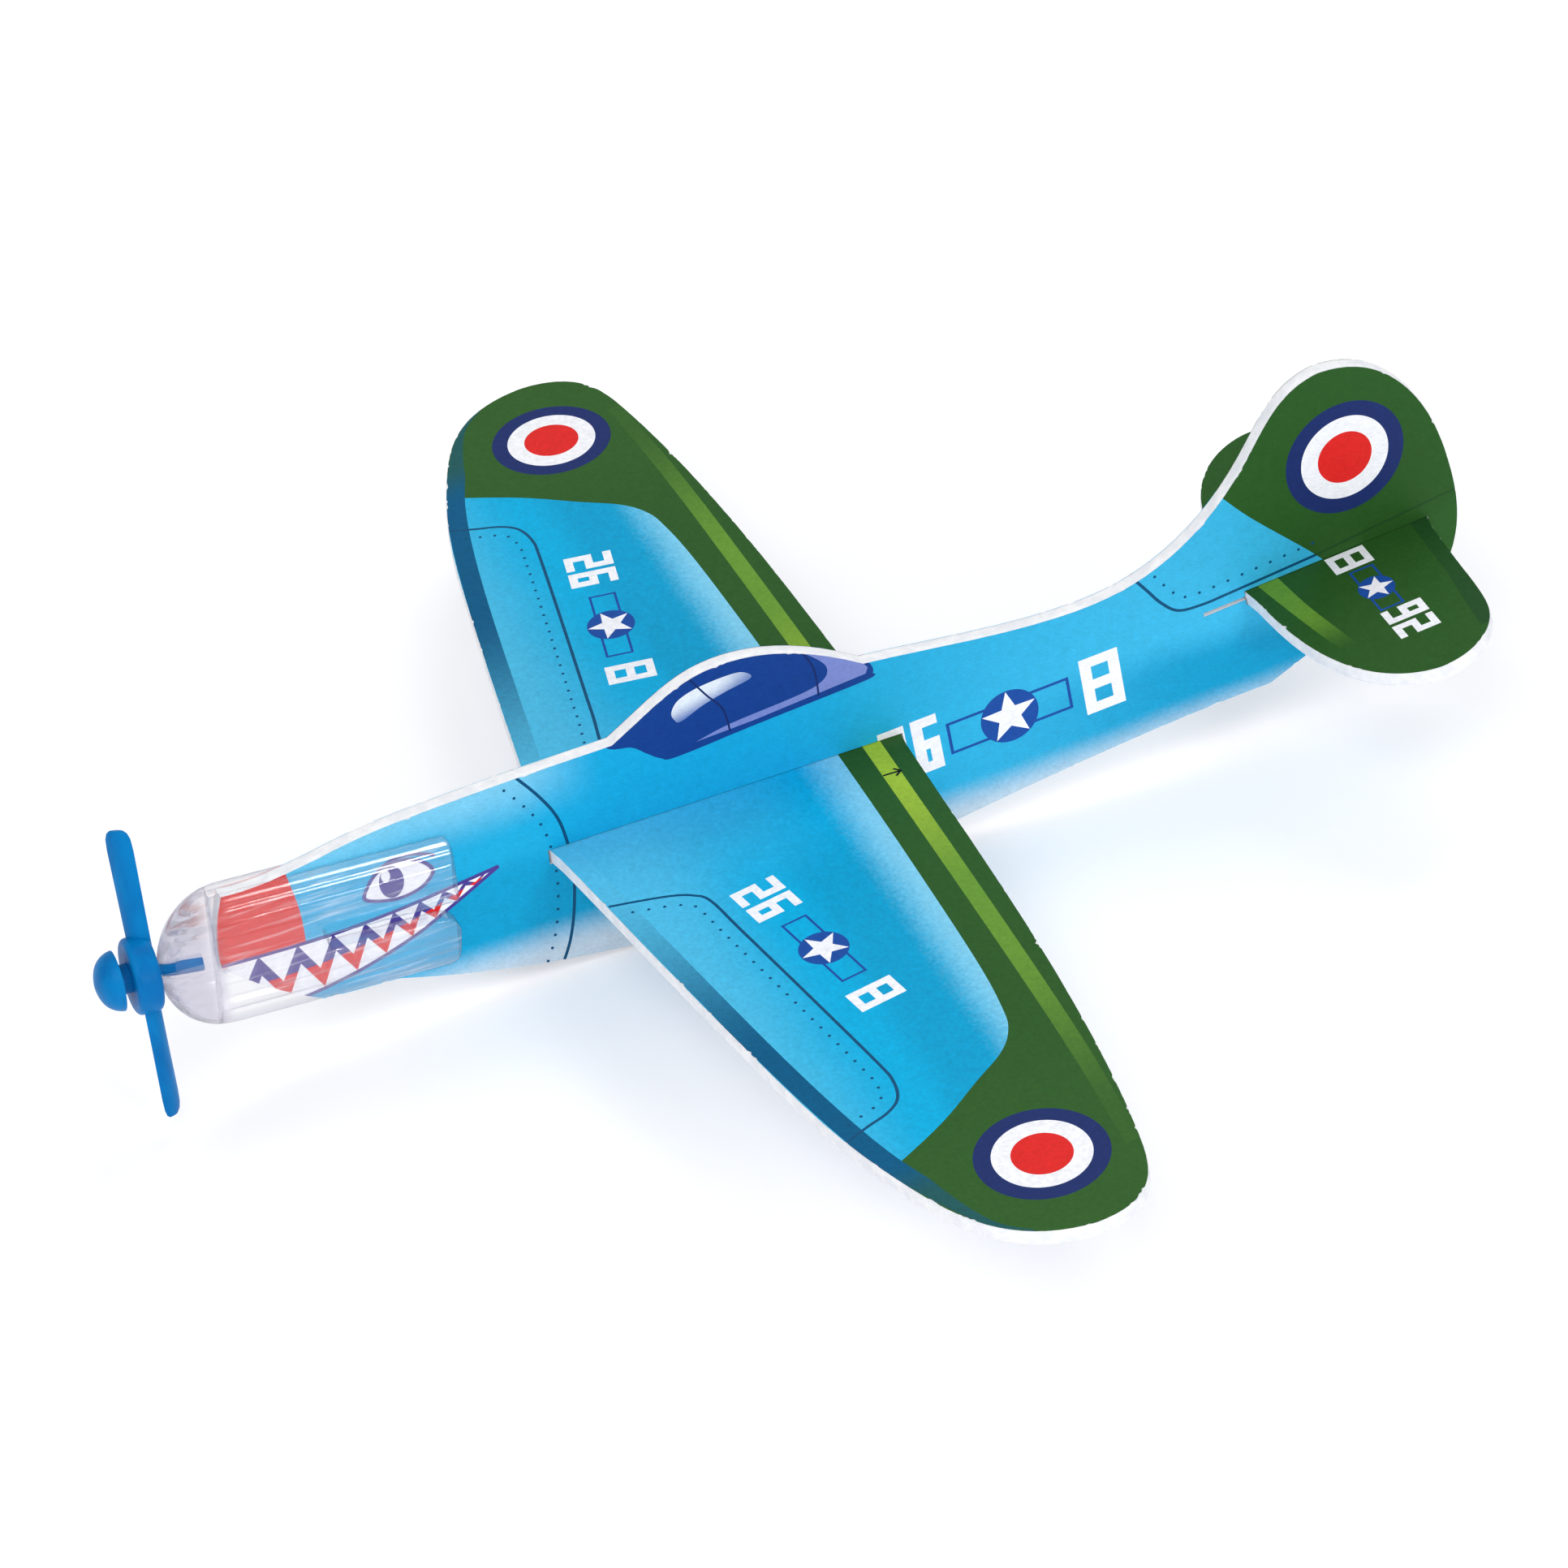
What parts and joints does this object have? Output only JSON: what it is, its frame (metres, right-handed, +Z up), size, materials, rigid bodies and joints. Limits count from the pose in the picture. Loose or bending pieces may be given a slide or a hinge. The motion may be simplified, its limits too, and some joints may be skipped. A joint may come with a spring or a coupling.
{
  "type": "slot-together foam glider",
  "caption": "Toy fighter glider of printed foam sheet: wing and tailplane slotted through the fuselage, clear plastic nose cap, free-spinning two-blade propeller.",
  "frame": {"origin": "middle of the flat stretch of the belly, on the fuselage's centre plane", "axes": "+X aft along the fuselage (the nose points to -X), +Y to starboard along the wing, +Z up"},
  "size_m": [0.1782, 0.1896, 0.0509],
  "materials": {
    "foam": "fine-celled white foam sheet",
    "printed_film": "printed film, satin",
    "clear_plastic": "clear moulded plastic",
    "blue_plastic": "moulded plastic, satin"
  },
  "bodies": {
    "fuselage": {"fuselage_core": "foam", "fuselage_skin_port": "printed_film", "fuselage_skin_starboard": "printed_film"},
    "wing": {"wing_core": "foam", "wing_skin": "printed_film"},
    "tailplane": {"tailplane_core": "foam", "tailplane_skin": "printed_film"},
    "nose": {"nose_cap": "clear_plastic", "prop_pin": "blue_plastic"},
    "propeller": {"propeller": "blue_plastic"}
  },
  "joints": [
    {"name": "wing_slide", "type": "slide", "parent": "fuselage", "child": "wing", "axis": [0, 1, 0], "range_m": [-0.098, 0.098]},
    {"name": "tailplane_slide", "type": "slide", "parent": "fuselage", "child": "tailplane", "axis": [0, 1, 0], "range_m": [-0.031, 0.031]},
    {"name": "nose_slide", "type": "slide", "parent": "fuselage", "child": "nose", "axis": [-0.9971, 0, 0.0767], "range_m": [0, 0.035]},
    {"name": "propeller_spin", "type": "hinge", "parent": "nose", "child": "propeller", "pos_m": [-0.07393, 0, 0.01923], "axis": [-0.9971, 0, 0.0767], "continuous": true}
  ]
}
